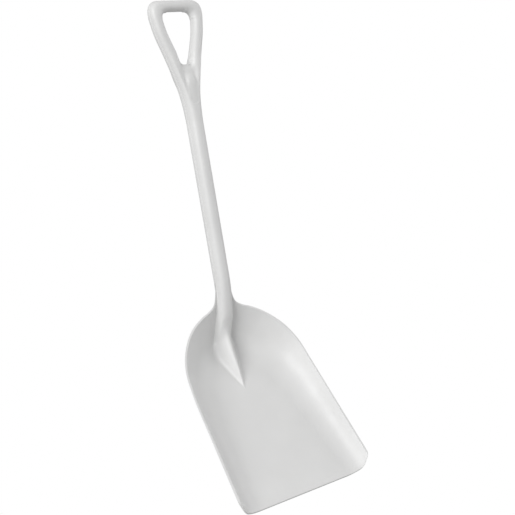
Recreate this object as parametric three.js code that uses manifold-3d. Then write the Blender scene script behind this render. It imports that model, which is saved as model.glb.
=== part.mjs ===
// One-piece grain scoop shovel, in millimetres, hanging upright as it is stored.
// +Z runs up the shaft, the scoop opens towards -Y, and X is across. The origin is the middle
// of the crossbar's underside, where a wall hook or a fist carries the shovel.
// The shovel is one injection moulding. It is divided here where a user would name its regions.

import * as THREE from "three";
import { mergeVertices } from "three/addons/utils/BufferGeometryUtils.js";
import Module from "manifold-3d";

const wasm = await Module();
wasm.setup();

// ---- Driving dimensions ----

const GAP = 0.3; // left between neighbouring regions
const LEAST_BLEND = 0.01; // keeps a blend of no width defined
const FAR = 400; // cutters reach at least this far past what they cut

// Blade. Its own frame has x across, t up the floor towards the neck and h out of the floor.
const FLOOR_TILT = THREE.MathUtils.degToRad(37.6); // between the blade's floor and the shaft
const SPINE_TIP = new THREE.Vector3(0, -17.5, -846.2); // t = 0 and h = 0 are here
const FLOOR_THICKNESS = 6;
const WALL_ANGLE = THREE.MathUtils.degToRad(57); // of the side and back walls, from the floor
const RIM_WIDTH = 5;
const LIP_T = -273.5;
const LIP_CORNER_START = 166; // half width at which the lip turns into the wall's front edge
const LIP_CORNER_ROUND = 14;

// Stations down the rim, neck to lip corner: half width, t and height of the rim's outer edge,
// and the t at which the same cross line meets the middle of the blade.
const RIM_STATIONS = [
  [18.6, 256, 174.5, 256],
  [18.6, 230, 154.5, 230],
  [19.0, 207, 136.0, 206],
  [21.5, 187, 118.0, 185],
  [30.0, 166.5, 99.0, 163],
  [46.0, 157.5, 92, 141],
  [68.5, 148.5, 88, 117],
  [99.0, 130.5, 81, 81],
  [132.0, 94, 74, 38],
  [153.0, 50, 64.8, -2],
  [161.0, -2, 55.7, -40],
  [168.5, -122, 44.4, -150],
  [175.5, -248, 33.5, LIP_T],
];

// Radius between floor and wall: wide round the bowl, tight at the lip and into the neck.
const BOWL_RADIUS = 86;
const LIP_RADIUS = 54;
const RADIUS_FADE = 240; // from the spine's tip down to where the lip's radius is reached
const NECK_RADIUS_LOSS = 12;
const NECK_RADIUS_FADE = [60, 170]; // t over which the radius loses that

// Where the cross lines of the blade change along it.
const STRAIGHTENING = [60, 235]; // distance below t = 0: bowed above, straight below
const RIM_WIDENING = [19, 40]; // half width: the shaft's ledge grows into the rim's flat
const PAN_OPENING = [18.6, 27]; // half width: the shaft's sides open into the pan

// Shaft: a round back half, and a slightly narrower front half behind a parting-line ledge.
const SHAFT_RADIUS = 18.6; // at the joint line
const SHAFT_TOP_SCALE = 1.03; // the shaft swells this much towards the yoke
const LEDGE_WIDTH = 2.3;
const PARTING_Y = 0.5;
const FRONT_Y = -19.5;
const FRONT_FULLNESS = 2.3; // exponent of the front half's section, where 2 is an ellipse
const JOINT_Z = -566; // faint joint line where the neck takes over from the shaft
const YOKE_BOTTOM_Z = -246;

// Spine: the shaft's front carried down the back wall and on along the floor as a low ridge.
const SPINE_JOG_T = 123; // the shaft's full-width round has become a ridge here
const SPINE_FLANK_SLOPE = 2;
const SPINE_CREST_RADIUS = 8; // at the jog
const SPINE_TIP_RADIUS = 2;
const SIDE_START = 0.985; // share of the front's half width where its side runs straight down
const SIDE_SLOPE = 6; // depth per width of that side
const BACK_SLOPE = 4; // and of the shaft's back beside its round
const SPINE_JOG_REACH = 14; // the round turns into the ridge this far to each side of the jog
const TIP_VALLEY = 4; // width of the rounded valley beside the spine at its tip
const JOG_VALLEY = 22; // and at the jog
const BACK_VALLEY = 16; // between the pan's outside and the shaft's round back

// The front's middle line from beyond the spine's tip to the top of the neck: t and height.
const CREST_LINE = [
  [-60, -25],
  [0, 0],
  [34, 15.5],
  [58, 24.5],
  [82, 34],
  [102, 42.5],
  [114, 49.5],
  [123, 60],
  [129.5, 72],
  [137, 87.5],
  [149, 104],
  [165, 123.3],
  [189, 147],
  [221, 172.7],
  [260, 202.7],
];

// Outline of the neck region in the blade's plan: x across and t.
const NECK_HALF_WIDTH = 33; // where it meets the rim
const NECK_TOP_T = 320;
const NECK_SHOULDER_T = 168; // its sides are straight above here
const NECK_PULL = [70, 110]; // the curve of each side is drawn towards this point
const NECK_TIP_RADIUS = 5;
const NECK_TIP_T = 2;

// D-grip. The crossbar's underside is at z = 0.
const BAR_HEIGHT = 24;
const BAR_DEPTH = 31;
const ARM_WIDTH = 27.5;
const ARM_DEPTH = 31;
const CORNER_SWELL = 3.5; // the grip is this much fuller on each side at its two top corners
const CORNER_REACH = 15;
const CORNER_CENTRE = new THREE.Vector3(48, 3.5, 6);
const INTO_SHAFT = [60, 235]; // distance below z = 0 over which an arm takes the shaft's section
const BAR_TO_ARM = [24, 50]; // x over which the crossbar takes an arm's section
const BAR_ROOM_Z = -20; // the crossbar and the top corners lie above this height
const BAR_HALF_LENGTH = 30;
const ARM_BOTTOM_Z = -104;
const OPENING_BOTTOM_Z = -119;
const OPENING_BOTTOM_RADIUS = 14;
const WEB_TOP_Z = -80;
const WEB_BOTTOM_Z = -225;
const WEB_THICKNESS = 25; // of the web that fills the fork below the opening

// Middle line of one arm, from the crossbar round the corner and down into the shaft.
const ARM_LINE = new THREE.CatmullRomCurve3(
  [
    [0, 3.5, 12.2],
    [18, 3.5, 12.2],
    [34, 3.5, 11.4],
    [48, 3.5, 6.0],
    [53, 3.5, -9],
    [51.3, 3.2, -27],
    [46.5, 2.7, -51],
    [38, 2.0, -78],
    [29.2, 1.2, -105],
    [17.6, 0.3, -141],
    [8.2, 0, -175],
    [2.6, 0, -208],
    [0, 0, YOKE_BOTTOM_Z],
    [0, 0, YOKE_BOTTOM_Z - 14],
  ].map(([x, y, z]) => new THREE.Vector3(x, y, z)),
);

// ---- Meshes and solids ----

// A closed mesh through rings of points. Point k of a ring faces point (length - 1 - k) across
// it, so each end is closed by a strip between the two halves of its ring.
function loft(rings) {
  const count = rings[0].length;
  const index = [];
  const quad = (a, b, c, d) => index.push(a, b, c, a, c, d);
  for (let i = 0; i + 1 < rings.length; i++)
    for (let k = 0; k < count; k++) {
      const next = (k + 1) % count;
      quad(i * count + k, i * count + next, (i + 1) * count + next, (i + 1) * count + k);
    }
  const last = (rings.length - 1) * count;
  for (let k = 0; k + 1 < count / 2; k++) {
    const across = count - 1 - k;
    quad(k + 1, k, across, across - 1);
    quad(last + k, last + k + 1, last + across - 1, last + across);
  }
  const geometry = new THREE.BufferGeometry();
  geometry.setAttribute(
    "position",
    new THREE.Float32BufferAttribute(rings.flat().flatMap((p) => p.toArray()), 3),
  );
  geometry.setIndex(index);
  return geometry;
}

function solid(geometry) {
  const bare = new THREE.BufferGeometry();
  bare.setAttribute("position", geometry.getAttribute("position"));
  bare.setIndex(geometry.index);
  const merged = mergeVertices(bare, 1e-3);
  const triangles = [];
  for (let i = 0; i < merged.index.count; i += 3) {
    const [a, b, c] = [0, 1, 2].map((k) => merged.index.getX(i + k));
    if (a !== b && b !== c && c !== a) triangles.push(a, b, c);
  }
  const make = (order) =>
    new wasm.Manifold(
      new wasm.Mesh({
        numProp: 3,
        vertProperties: new Float32Array(merged.attributes.position.array),
        triVerts: new Uint32Array(order),
      }),
    );
  const made = make(triangles);
  return made.volume() > 0 ? made : make(triangles.toReversed());
}

function geometryOf(manifold) {
  const mesh = manifold.getMesh();
  const geometry = new THREE.BufferGeometry();
  const position = new THREE.Float32BufferAttribute(mesh.vertProperties, 3);
  geometry.setAttribute("position", position);
  geometry.setIndex(new THREE.Uint32BufferAttribute(mesh.triVerts, 1));
  geometry.computeVertexNormals();
  return geometry;
}

// A box between two corners, as a cutter.
function block(low, high) {
  const size = high.clone().sub(low);
  const middle = low.clone().add(high).multiplyScalar(0.5);
  const box = new THREE.BoxGeometry(size.x, size.y, size.z);
  return solid(box.translate(middle.x, middle.y, middle.z));
}

// Everything between two heights.
function slab(lowZ, highZ) {
  return block(new THREE.Vector3(-FAR, -FAR, lowZ), new THREE.Vector3(FAR, FAR, highZ));
}

// ---- Blade and neck ----

const { smoothstep, lerp } = THREE.MathUtils;
const WALL_SLOPE = Math.tan(WALL_ANGLE);

// The larger of two heights, with a rounded valley about `round` wide between them.
function blendUp(a, b, round) {
  const mix = Math.max(round - Math.abs(a - b), 0) / round;
  return Math.max(a, b) + (mix * mix * round) / 4;
}

// Height above the floor at a distance e outside the line where floor and wall would meet.
function filletHeight(e, radius) {
  const reach = radius * Math.tan(WALL_ANGLE / 2);
  if (e <= -reach) return 0;
  if (e >= reach * Math.cos(WALL_ANGLE)) return e * WALL_SLOPE;
  return radius - Math.sqrt(radius * radius - (e + reach) ** 2);
}

// How far the lip's outline has turned back at half width x.
function lipTurn(x) {
  const e = x - LIP_CORNER_START;
  if (e <= -LIP_CORNER_ROUND) return 0;
  if (e >= LIP_CORNER_ROUND) return e;
  return (e + LIP_CORNER_ROUND) ** 2 / (4 * LIP_CORNER_ROUND);
}

const rimCurve = new THREE.CatmullRomCurve3(
  RIM_STATIONS.map(([x, t, h]) => new THREE.Vector3(x, t, h)),
);
const middleCurve = new THREE.CatmullRomCurve3(
  RIM_STATIONS.map(([x, , , t]) => new THREE.Vector3(x, t, 0)),
);

// One cross line of the blade, at u from 0 at the top of the neck to 1 at the lip.
function crossLine(u) {
  const rim = rimCurve.getPoint(u);
  const middle = middleCurve.getPoint(u).y;
  const toLip = smoothstep(-rim.y, ...STRAIGHTENING);
  const down = THREE.MathUtils.clamp((rim.y + RADIUS_FADE) / RADIUS_FADE, 0, 1);
  const neckLoss = NECK_RADIUS_LOSS * smoothstep(rim.y, ...NECK_RADIUS_FADE);
  return {
    width: rim.x,
    rimT: rim.y,
    rimH: rim.z,
    middle,
    toLip,
    bowed: (1 - toLip) * (rim.y - middle),
    radius: lerp(LIP_RADIUS, BOWL_RADIUS, down ** 1.5) - neckLoss,
    edge: lerp(LEDGE_WIDTH, RIM_WIDTH, smoothstep(rim.x, ...RIM_WIDENING)),
    opened: smoothstep(rim.x, ...PAN_OPENING),
  };
}

// Where the cross line passes at a fraction a of its half width.
function planT(line, a) {
  const turned = line.toLip && lipTurn(a * line.width) / lipTurn(line.width);
  const share = lerp(a * a, turned, line.toLip);
  return line.middle + (line.rimT - line.middle) * share;
}

// Distance along the cross line from fraction a out to fraction end.
function wallDistance(line, a, end) {
  const speed = (f) => Math.hypot(line.width, 2 * line.bowed * f);
  return ((end - a) / 6) * (speed(a) + 4 * speed((a + end) / 2) + speed(end));
}

function panHeight(line, a, end, floor) {
  const e = (line.rimH - floor) / WALL_SLOPE - wallDistance(line, a, end);
  const pan = floor + filletHeight(e, line.radius - floor);
  return lerp(line.rimH, pan, line.opened);
}

// How far the shaft's front half and back half stand out from the parting line at half width x.
function frontDepth(x, half) {
  const share = (x / half) ** FRONT_FULLNESS;
  return (PARTING_Y - FRONT_Y) * Math.max(1 - share, 0) ** (1 / FRONT_FULLNESS);
}

function backDepth(x, radius) {
  return Math.sqrt(Math.max(radius * radius - x * x, 0)) * (1 - PARTING_Y / radius);
}

// Height of the front's middle line at t: a cubic between each two points of CREST_LINE.
function crestHeight(t) {
  const last = CREST_LINE.length - 2;
  const i = THREE.MathUtils.clamp(CREST_LINE.findIndex(([at]) => at > t) - 1, 0, last);
  const slope = (k) => {
    const [t0, h0] = CREST_LINE[Math.max(k - 1, 0)];
    const [t1, h1] = CREST_LINE[Math.min(k + 1, last + 1)];
    return (h1 - h0) / (t1 - t0);
  };
  const [startT, startH] = CREST_LINE[i];
  const [endT, endH] = CREST_LINE[i + 1];
  const span = endT - startT;
  const v = (t - startT) / span;
  const rise = v * v * (3 - 2 * v);
  const lean = span * v * (1 - v) * (slope(i) * (1 - v) - slope(i + 1) * v);
  return lerp(startH, endH, rise) + lean;
}

// Height of the shaft's or spine's front below its middle line, at half width x.
function crestDrop(x, t) {
  const half = SHAFT_RADIUS - LEDGE_WIDTH;
  const side = SIDE_START * half;
  const round = PARTING_Y - FRONT_Y - frontDepth(Math.min(x, side), half);
  const shaft = round + SIDE_SLOPE * Math.max(x - side, 0);
  const radius = lerp(SPINE_TIP_RADIUS, SPINE_CREST_RADIUS, smoothstep(t, 0, SPINE_JOG_T));
  const ridge = SPINE_FLANK_SLOPE * (Math.hypot(x, radius) - radius);
  const share = smoothstep(t, SPINE_JOG_T - SPINE_JOG_REACH, SPINE_JOG_T + SPINE_JOG_REACH);
  return lerp(ridge, shaft / Math.cos(FLOOR_TILT), share);
}

function frontHeight(line, a, end) {
  const t = planT(line, a);
  const x = a * line.width;
  const share = THREE.MathUtils.clamp(t / SPINE_JOG_T, 0, 1);
  const valley = lerp(TIP_VALLEY, JOG_VALLEY, share) * line.opened + LEAST_BLEND;
  return blendUp(panHeight(line, a, end, 0), crestHeight(t) - crestDrop(x, t), valley);
}

// The pan's outside, and the round back of the shaft down to where the pan passes behind it.
function backHeight(line, a) {
  const t = planT(line, a);
  const pan = panHeight(line, a, 1, -FLOOR_THICKNESS);
  if (t < SPINE_JOG_T) return pan;
  const x = Math.min(a * line.width, SHAFT_RADIUS);
  const beside = Math.max(a * line.width - SHAFT_RADIUS, 0);
  const depth = PARTING_Y - FRONT_Y + backDepth(x, SHAFT_RADIUS) - BACK_SLOPE * beside;
  const shaft = crestHeight(t) - depth / Math.cos(FLOOR_TILT);
  return -blendUp(-pan, -shaft, BACK_VALLEY * line.opened + LEAST_BLEND);
}

// Fractions from 0 to 1, closer together at both ends.
function crossFractions(count) {
  const ease = (v) => (v < 0.5 ? 0.5 * (2 * v) ** 1.5 : 1 - 0.5 * (2 - 2 * v) ** 1.5);
  return Array.from({ length: count + 1 }, (_, k) => ease(k / count));
}

function bladeRing(u) {
  const line = crossLine(u);
  const end = 1 - line.edge / Math.hypot(line.width, 2 * line.bowed);
  const half = crossFractions(15);
  const across = [...half.slice(1).reverse().map((a) => -a), ...half];
  const front = across.map((f) => {
    const a = Math.abs(f) * end;
    const x = Math.sign(f) * a * line.width;
    return new THREE.Vector3(x, planT(line, a), frontHeight(line, a, end));
  });
  const back = across.toReversed().map((f) => {
    const a = Math.abs(f);
    return new THREE.Vector3(f * line.width, planT(line, a), backHeight(line, a));
  });
  return [...front, ...back];
}

// The blade's frame in the shovel's frame: t goes up and back, h forward and up.
const bladeTurn = Math.PI / 2 - FLOOR_TILT;
const bladeToShovel = new THREE.Matrix4()
  .makeTranslation(SPINE_TIP)
  .multiply(new THREE.Matrix4().makeRotationX(bladeTurn));
const shovelToBlade = bladeToShovel.clone().invert();

// Stations are closer together in the neck, where the shape changes fastest.
const BLADE_ROWS = 46;
const rowsDown = Array.from({ length: BLADE_ROWS + 1 }, (_, i) => {
  const v = i / BLADE_ROWS;
  return lerp(v, Math.sqrt(v), -0.15);
});
const scoop = solid(loft(rowsDown.map(bladeRing)));

// The neck takes a long spade shape out of the blade: the shaft's width and its two flares at
// the top, then as wide as the spine's foot, narrowing with it to a blunt point.
function neckOutline(grow) {
  const side = NECK_HALF_WIDTH + grow;
  const tip = NECK_TIP_RADIUS + grow;
  const [pullX, pullT] = NECK_PULL;
  const shape = new THREE.Shape();
  shape.moveTo(-side, NECK_TOP_T);
  shape.lineTo(-side, NECK_SHOULDER_T);
  shape.quadraticCurveTo(-pullX - grow, pullT, -tip, NECK_TIP_T + 1);
  shape.absarc(0, NECK_TIP_T, tip, Math.PI, 2 * Math.PI, false);
  shape.quadraticCurveTo(pullX + grow, pullT, side, NECK_SHOULDER_T);
  shape.lineTo(side, NECK_TOP_T);
  shape.closePath();
  const prism = new THREE.ExtrudeGeometry(shape, {
    depth: FAR,
    bevelEnabled: false,
    curveSegments: 8,
  });
  return solid(mergeVertices(prism.deleteAttribute("normal").deleteAttribute("uv"), 1e-3)
    .translate(0, 0, -FAR / 4));
}

const inBladeFrame = (manifold) => solid(geometryOf(manifold).applyMatrix4(shovelToBlade));
const belowJoint = inBladeFrame(slab(JOINT_Z - 2 * FAR, JOINT_Z - GAP / 2));
const bladeSolid = scoop.subtract(neckOutline(GAP));
const neckSolid = scoop.intersect(neckOutline(0)).intersect(belowJoint);

// ---- Shaft ----

// The shaft's section: full front half, parting ledge, round back half.
function shaftRing(z, scale) {
  const steps = 12;
  const half = SHAFT_RADIUS - LEDGE_WIDTH;
  const across = Array.from({ length: steps + 1 }, (_, k) => -Math.cos((Math.PI * k) / steps));
  const at = (x, y) => new THREE.Vector3(x * scale, y * scale, z);
  const front = across.map((f) => at(f * half, PARTING_Y - frontDepth(Math.abs(f) * half, half)));
  const back = across.map((f) => at(-f * SHAFT_RADIUS,
    PARTING_Y + backDepth(Math.abs(f) * SHAFT_RADIUS, SHAFT_RADIUS)));
  return [...front, ...back];
}

const shaftSolid = solid(loft([
  shaftRing(JOINT_Z + GAP / 2, 1),
  shaftRing(YOKE_BOTTOM_Z - GAP / 2, SHAFT_TOP_SCALE),
]));

// ---- Grip ----

const SHAFT_TOP_RADIUS = SHAFT_RADIUS * SHAFT_TOP_SCALE;

// Half width and half depth of the grip's tube at a point of its middle line.
function tubeSize(point) {
  const intoShaft = smoothstep(-point.z, ...INTO_SHAFT);
  const alongBar = 1 - smoothstep(point.x, ...BAR_TO_ARM);
  const top = point.z > BAR_ROOM_Z / 2 ? alongBar : 0;
  const corner = CORNER_SWELL * Math.exp(-((point.distanceTo(CORNER_CENTRE) / CORNER_REACH) ** 2));
  return {
    half: lerp(lerp(ARM_WIDTH, BAR_HEIGHT, top) / 2, SHAFT_TOP_RADIUS, intoShaft) + corner,
    depth: lerp(lerp(ARM_DEPTH, BAR_DEPTH, top) / 2, SHAFT_TOP_RADIUS, intoShaft),
  };
}

// The tube from curve fraction `from` to `to`, on the side of the grip that `side` gives.
function gripTube(from, to, steps, side) {
  const around = 18;
  const rings = Array.from({ length: steps + 1 }, (_, i) => {
    const u = lerp(from, to, i / steps);
    const point = ARM_LINE.getPoint(u);
    const along = ARM_LINE.getTangent(u);
    const { half, depth } = tubeSize(point);
    return Array.from({ length: around }, (_, k) => {
      const angle = (2 * Math.PI * (k + 0.5)) / around;
      const out = half * Math.cos(angle);
      return new THREE.Vector3(
        side * (point.x - along.z * out),
        point.y + depth * Math.sin(angle),
        point.z + along.x * out,
      );
    });
  });
  return solid(loft(rings));
}

const fullTube = (side) => gripTube(0.0, 1.0, 44, side);
const loop = fullTube(1).add(fullTube(-1));

function armSolid(side) {
  const box = (inner, lowZ, highZ) => block(
    new THREE.Vector3(side > 0 ? inner : -FAR, -FAR, lowZ),
    new THREE.Vector3(side > 0 ? FAR : -inner, FAR, highZ),
  );
  const corner = box(BAR_HALF_LENGTH + GAP / 2, BAR_ROOM_Z, FAR);
  const leg = box(GAP, ARM_BOTTOM_Z + GAP / 2, BAR_ROOM_Z);
  return fullTube(side).intersect(corner.add(leg));
}

const crossbarSolid = loop.intersect(block(
  new THREE.Vector3(-BAR_HALF_LENGTH + GAP / 2, -FAR, BAR_ROOM_Z),
  new THREE.Vector3(BAR_HALF_LENGTH - GAP / 2, FAR, FAR),
));

// The web fills the fork between the arms' middle lines, below the opening's round bottom.
function webSolid() {
  const side = ARM_LINE.getPoints(40).filter((p) => p.z < WEB_TOP_Z && p.z > WEB_BOTTOM_Z);
  const centreZ = OPENING_BOTTOM_Z + OPENING_BOTTOM_RADIUS;
  const shoulderX = 2 * OPENING_BOTTOM_RADIUS;
  const shoulderZ = centreZ + 16; // the opening widens up to here
  const shape = new THREE.Shape();
  shape.moveTo(side[0].x, side[0].z);
  side.forEach((p) => shape.lineTo(p.x, p.z));
  side.toReversed().forEach((p) => shape.lineTo(-p.x, p.z));
  shape.lineTo(-shoulderX, shoulderZ);
  shape.absarc(0, centreZ, OPENING_BOTTOM_RADIUS, Math.PI * 1.1, Math.PI * 1.9, false);
  shape.lineTo(shoulderX, shoulderZ);
  shape.closePath();
  const plate = new THREE.ExtrudeGeometry(shape, {
    depth: WEB_THICKNESS,
    bevelEnabled: false,
    curveSegments: 10,
  });
  plate.deleteAttribute("normal").deleteAttribute("uv");
  return solid(mergeVertices(plate, 1e-3).rotateX(Math.PI / 2).translate(0, WEB_THICKNESS / 2, 0));
}

const yokeSolid = loop.add(webSolid()).intersect(slab(YOKE_BOTTOM_Z + GAP / 2, ARM_BOTTOM_Z - GAP / 2));

// ---- Assembly ----

const WHITE_POLYPROPYLENE = 0xe9e9e6;

function part(name, manifold) {
  const plastic = new THREE.MeshStandardMaterial({
    color: WHITE_POLYPROPYLENE,
    roughness: 0.42,
    metalness: 0,
  });
  const mesh = new THREE.Mesh(geometryOf(manifold), plastic);
  mesh.name = name;
  return mesh;
}

const scoopGroup = new THREE.Group();
scoopGroup.position.copy(SPINE_TIP);
scoopGroup.rotation.x = bladeTurn;
scoopGroup.add(part("blade", bladeSolid), part("neck", neckSolid));

const gripGroup = new THREE.Group();
gripGroup.add(
  part("crossbar", crossbarSolid),
  part("left_arm", armSolid(-1)),
  part("right_arm", armSolid(1)),
  part("yoke", yokeSolid),
);

const shovel = new THREE.Group();
shovel.add(scoopGroup, part("shaft", shaftSolid), gripGroup);

export default shovel;
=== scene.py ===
import math
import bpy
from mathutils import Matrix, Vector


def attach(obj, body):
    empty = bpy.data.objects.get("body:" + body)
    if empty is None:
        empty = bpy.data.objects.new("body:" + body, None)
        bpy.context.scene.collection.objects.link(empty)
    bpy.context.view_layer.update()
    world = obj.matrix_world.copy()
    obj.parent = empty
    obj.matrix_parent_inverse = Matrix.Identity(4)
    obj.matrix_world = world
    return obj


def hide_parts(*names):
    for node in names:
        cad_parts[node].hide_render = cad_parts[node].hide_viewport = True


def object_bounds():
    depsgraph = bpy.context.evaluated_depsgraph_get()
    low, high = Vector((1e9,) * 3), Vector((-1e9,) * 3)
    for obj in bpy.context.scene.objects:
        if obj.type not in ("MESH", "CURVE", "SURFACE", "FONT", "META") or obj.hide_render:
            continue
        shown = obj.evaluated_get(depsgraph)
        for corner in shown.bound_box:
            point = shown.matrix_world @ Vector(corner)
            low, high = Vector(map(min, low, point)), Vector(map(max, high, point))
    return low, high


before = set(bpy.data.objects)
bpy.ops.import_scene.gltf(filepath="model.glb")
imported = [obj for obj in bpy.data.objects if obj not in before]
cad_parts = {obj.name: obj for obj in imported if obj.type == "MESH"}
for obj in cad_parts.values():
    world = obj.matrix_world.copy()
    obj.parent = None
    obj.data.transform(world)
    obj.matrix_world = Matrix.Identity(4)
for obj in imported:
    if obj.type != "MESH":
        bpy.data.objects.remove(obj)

from types import SimpleNamespace

import bmesh
import bpy
import numpy as np
import openvdb
from mathutils import Matrix, Vector
from mathutils.bvhtree import BVHTree
from mathutils.interpolate import poly_3d_calc

CAD_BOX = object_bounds()

# A one-piece moulded grain scoop shovel, hanging as it is stored: +Z runs up the shaft, the
# scoop opens towards -Y and X is across. Sizes are in millimetres until a piece is made.
MM = 0.001

# ---- Driving dimensions ----

# Blade. Its own frame has x across, t up the floor towards the neck and h out of the floor.
FLOOR_TILT = math.radians(37.6)  # between the blade's floor and the shaft
SPINE_TIP_Y = -17.5  # t = 0 and h = 0 are here
SPINE_TIP_Z = -846.2
FLOOR_THICKNESS = 6
WALL_ANGLE = math.radians(57)  # of the side and back walls, from the floor
WALL_SLOPE = math.tan(WALL_ANGLE)
RIM_WIDTH = 5
LIP_T = -273.5
LIP_CORNER_START = 166  # half width at which the lip turns into the wall's front edge
LIP_CORNER_ROUND = 14

# Stations down the rim: half width, t and height of its outer edge, and the t at which the
# same cross line meets the middle of the blade.
RIM_STATIONS = [
    (18.6, 256, 174.5, 256),
    (18.6, 230, 154.5, 230),
    (19.0, 207, 136.0, 206),
    (21.5, 187, 118.0, 185),
    (30.0, 166.5, 99.0, 163),
    (46.0, 157.5, 92, 141),
    (68.5, 148.5, 88, 117),
    (99.0, 130.5, 81, 81),
    (132.0, 94, 74, 38),
    (153.0, 50, 64.8, -2),
    (161.0, -2, 55.7, -40),
    (168.5, -122, 44.4, -150),
    (175.5, -248, 33.5, LIP_T),
]

# Radius between floor and wall: wide round the bowl, tighter at the lip and into the neck.
BOWL_RADIUS = 86
LIP_RADIUS = 54
RADIUS_FADE = 240  # from the spine's tip down to where the lip's radius is reached
RADIUS_FADE_POWER = 1.5
NECK_RADIUS_LOSS = 12
NECK_RADIUS_FADE = (60, 170)  # t over which the radius loses that

# Where the cross lines of the blade change along it.
STRAIGHTENING = (60, 235)  # distance below t = 0: bowed above, straight below
RIM_WIDENING = (19, 40)  # half width: the shaft's ledge grows into the rim's flat
PAN_OPENING = (18.6, 27)  # half width: the shaft's sides open into the pan

# Edges are broken by small rounds.
EDGE_IN = 0.5  # along each side of the rim's and the ledge's inner edge
EDGE_OUT = 1.3  # along each side of the rim's outer edge
SHAFT_EDGE_OUT = 0.6  # and of the shaft's ledge
LIP_ROUND = 1.6
LIP_ROUND_SHARE = 0.45  # of the wall's thickness, at most

# Shaft: a full front half behind a parting-line ledge, and a round back half.
SHAFT_RADIUS = 18.6  # at the joint line
SHAFT_TOP_SCALE = 1.03  # the shaft swells this much towards the yoke
LEDGE_WIDTH = 2.3
PARTING_Y = 0.5
FRONT_Y = -19.5
FRONT_FULLNESS = 2.3  # exponent of the front half's section, where 2 is an ellipse
JOINT_Z = -566
YOKE_BOTTOM_Z = -246

# Spine: the shaft's front carried down the back wall and on along the floor as a low ridge.
SPINE_JOG_T = 123  # the shaft's full-width round has become a ridge here
SPINE_JOG_REACH = 14  # the round turns into the ridge this far to each side of the jog
SPINE_FLANK_SLOPE = 2
SPINE_CREST_RADIUS = 8  # at the jog
SPINE_TIP_RADIUS = 2
SIDE_START = 0.985  # share of the front's half width where its side runs straight down
SIDE_SLOPE = 6  # depth per width of that side
BACK_SLOPE = 4  # and of the shaft's back beside its round
TIP_VALLEY = 4  # width of the rounded valley beside the spine at its tip
JOG_VALLEY = 22  # and at the jog
BACK_VALLEY = 16  # between the pan's outside and the shaft's round back

# The front's middle line from beyond the spine's tip to the top of the neck: t and height.
CREST_LINE = [
    (-60, -25),
    (0, 0),
    (34, 15.5),
    (58, 24.5),
    (82, 34),
    (102, 42.5),
    (114, 49.5),
    (123, 60),
    (129.5, 72),
    (137, 87.5),
    (149, 104),
    (165, 123.3),
    (189, 147),
    (221, 172.7),
    (260, 202.7),
]

# Outline of the neck region in the blade's plan: x across and t.
NECK_HALF_WIDTH = 33  # where it meets the rim
NECK_TOP_T = 320
NECK_SHOULDER_T = 168  # its sides are straight above here
NECK_PULL = (70, 110)  # the curve of each side is drawn towards this point
NECK_TIP_RADIUS = 5
NECK_TIP_T = 2
NECK_CUT_HEIGHTS = (-100, 300)  # the outline cuts through the blade between these heights

# D-grip. The crossbar's underside is at z = 0, and distances below it are positive.
BAR_HEIGHT = 24
BAR_DEPTH = 31
BAR_HALF_LENGTH = 30
BAR_LEDGE_LOSS = 0.9  # share of the ledge that is lost along the crossbar
BAR_ROOM_Z = -20  # the crossbar and the top corners lie above this height
BAR_ROOM_REACH = 60  # and well within this far of the middle, up and to front and back
ARM_WIDTH = 27.5
ARM_DEPTH = 31
ARM_BOTTOM_Z = -104
CORNER_SWELL = 3.5  # the grip is this much fuller on each side at its two top corners
CORNER_REACH = 15
CORNER_CENTRE = (48, 6)
CORNER_BOTTOM_Z = -10  # the middle line has turned down into the arm here
INTO_SHAFT = (60, 235)  # distance below over which an arm takes the shaft's section
BAR_TO_ARM = (24, 50)  # x over which the crossbar takes an arm's section
LEDGE_BLEND = 1

# Middle line of one arm, from the crossbar round the corner and down into the shaft. Its y
# counts from the parting line, and the grip leans back by it.
ARM_LINE = [
    (0, 3.5, 12.2),
    (18, 3.5, 12.2),
    (34, 3.5, 11.4),
    (48, 3.5, 6.0),
    (53, 3.5, -9),
    (51.3, 3.2, -27),
    (46.5, 2.7, -51),
    (38, 2.0, -78),
    (29.2, 1.2, -105),
    (17.6, 0.3, -141),
    (8.2, 0, -175),
    (2.6, 0, -208),
    (0, 0, YOKE_BOTTOM_Z),
    (0, 0, YOKE_BOTTOM_Z - 14),
]

# Grip opening: a round-bottomed slot, with a fillet in each of its two top corners.
OPENING_BOTTOM_Z = -119
OPENING_BOTTOM_RADIUS = 14
OPENING_EDGE_EXTRA = 2  # the slot is this much wider, before its edges are rounded
OPENING_FLARE = 0.7  # the slot widens to each side by this much of its height
OPENING_EDGE_BLEND = 14
OPENING_TOP_RADIUS = 14
OPENING_TOP_CENTRE = (25, -14)
OPENING_TOP_REACH = 25  # a fillet reaches this far from its centre
OPENING_TOP_Y = 0.5  # the fillets' middle plane
OPENING_TOP_DEPTH = 11
OPENING_TOP_BLEND = 6

# Fork: the arms run together, with a web between them. Pairs are distances below z = 0.
FORKING = (78, 122)  # from beside the opening into the fork
MERGING = (190, 228)  # from the fork into the round shaft
WEB_DEPTH = 11  # of its front and back faces from the parting line
WEB_BLEND = 10
WEB_BOTTOM = 240
WEB_INTO_ARM = 4  # the web reaches this far past the arms' middle lines
OTHER_ARM_FROM = 70  # each arm's side counts the other arm's tube from here down
CROTCH_STARTS = (110, 135)  # the crease between the arms starts to be rounded
CROTCH_ENDS = (140, 205)  # and ends
CROTCH_BLEND = 9
RIDGE_PARTS = (92, 145)  # the arms' front ridges move apart
RIDGE_CLOSES = (150, 205)  # and together again
RIDGE_SHIFT = 8  # between those they stand this far outside the arms' middles
RIDGE_SET_BACK = 4

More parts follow.
